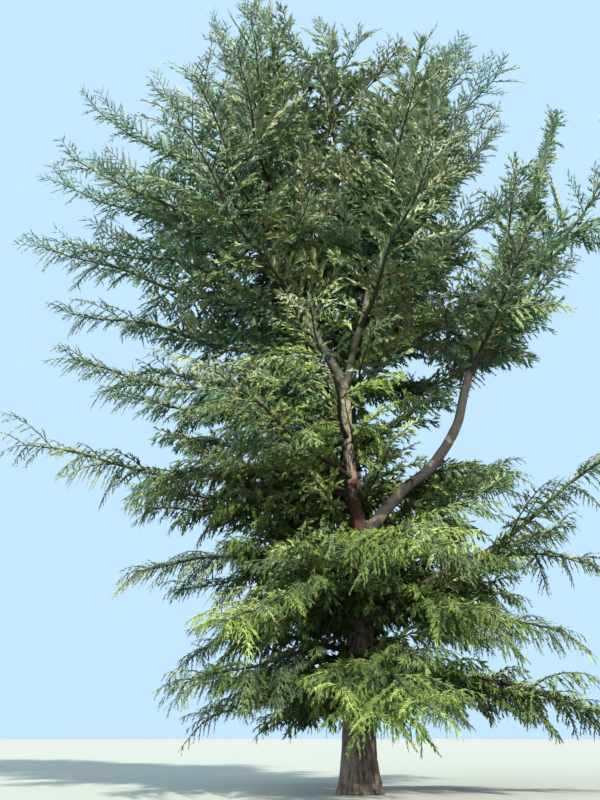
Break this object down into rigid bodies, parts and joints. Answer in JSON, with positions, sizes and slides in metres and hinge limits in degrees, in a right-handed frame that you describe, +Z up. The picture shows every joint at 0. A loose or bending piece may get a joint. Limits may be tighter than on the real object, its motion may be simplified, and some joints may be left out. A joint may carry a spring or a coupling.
{
  "type": "cedar tree",
  "caption": "Mature cedar tree: fluted tapering trunk that forks into leaders, a cranked side limb, and open tiers of boughs with sprays of needles.",
  "frame": {"origin": "middle of the flat cut under the trunk, at ground level", "axes": "+Z up the trunk; +X east, to the right as seen in the picture; +Y north, away from its camera"},
  "size_m": [21.7218, 17.2007, 28.3751],
  "materials": {
    "bark": "rough, fissured grey-brown bark",
    "needles": "matt green sprays of needles"
  },
  "bodies": {
    "root": {"trunk": "bark", "leader_west": "bark", "leader_east": "bark", "leader_north": "bark", "limb_east_lower": "bark", "limb_east_upper": "bark", "bough_rising": "bark", "bough_middle_1": "bark", "bough_middle_2": "bark", "bough_middle_3": "bark", "bough_middle_4": "bark", "bough_west_flat": "bark", "mass_skirt_1": "needles", "mass_skirt_2": "needles", "mass_skirt_3": "needles", "mass_skirt_4": "needles", "mass_skirt_5": "needles", "mass_low_1": "needles", "mass_low_2": "needles", "mass_low_3": "needles", "mass_low_4": "needles", "mass_rising": "needles", "mass_waist_1": "needles", "mass_waist_2": "needles", "mass_waist_3": "needles", "mass_waist_4": "needles", "mass_middle_1": "needles", "mass_middle_2": "needles", "mass_middle_3": "needles", "mass_middle_4": "needles", "mass_shoulder_1": "needles", "mass_shoulder_2": "needles", "mass_shoulder_3": "needles", "mass_west_flat": "needles", "mass_west_far_1": "needles", "mass_west_far_2": "needles", "mass_west_high_1": "needles", "mass_west_high_2": "needles", "mass_west_shoulder_1": "needles", "mass_west_shoulder_2": "needles", "mass_west_top_1": "needles", "mass_west_top_2": "needles", "mass_west_crest": "needles", "mass_west_tip": "needles", "mass_east_low_1": "needles", "mass_east_low_2": "needles", "mass_east_mid_1": "needles", "mass_east_mid_2": "needles", "mass_east_high": "needles", "mass_east_top": "needles", "mass_east_tip": "needles", "mass_north_low_1": "needles", "mass_north_low_2": "needles", "mass_north_mid": "needles", "mass_north_high": "needles", "mass_north_tip": "needles", "mass_limb_side_1": "needles", "mass_limb_side_2": "needles", "mass_limb_comb": "needles", "mass_limb_tip": "needles"}
  },
  "joints": []
}
